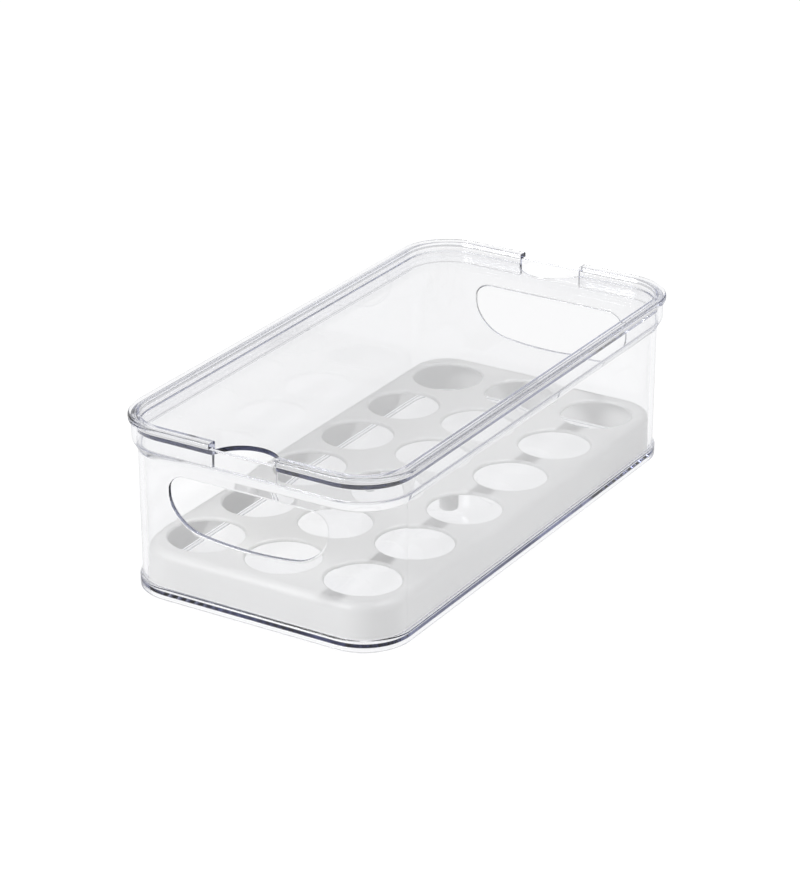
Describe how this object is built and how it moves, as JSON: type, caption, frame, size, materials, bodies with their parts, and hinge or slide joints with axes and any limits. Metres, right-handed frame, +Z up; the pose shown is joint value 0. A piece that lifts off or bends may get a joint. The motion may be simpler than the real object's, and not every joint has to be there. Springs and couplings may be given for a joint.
{
  "type": "egg keeper",
  "caption": "Clear stackable fridge bin with a lift-off lid, hand slots in both ends and a grey drop-in tray with round egg seats.",
  "frame": {"origin": "under the middle of the bin, on the surface that its foot ring stands on", "axes": "+X across the width, +Y along the length, +Z up; the two short ends, each with a hand slot and a lid notch, face -Y and +Y"},
  "size_m": [0.1606, 0.308, 0.0945],
  "materials": {
    "clear_plastic": "clear, polished, bluish at its edges",
    "grey_plastic": "light warm grey, satin"
  },
  "bodies": {
    "bin": {"bin": "clear_plastic"},
    "lid": {"lid": "clear_plastic"},
    "egg_tray": {"egg_tray": "grey_plastic"}
  },
  "joints": [
    {"name": "lid_lift", "type": "slide", "parent": "bin", "child": "lid", "axis": [0, 0, 1], "range_m": [0, 0.25]},
    {"name": "tray_lift", "type": "slide", "parent": "bin", "child": "egg_tray", "axis": [0, 0, 1], "range_m": [0, 0.105]}
  ],
  "couplings": [
    {"joint": "tray_lift", "follows": "lid_lift", "ratio": 0.42}
  ]
}
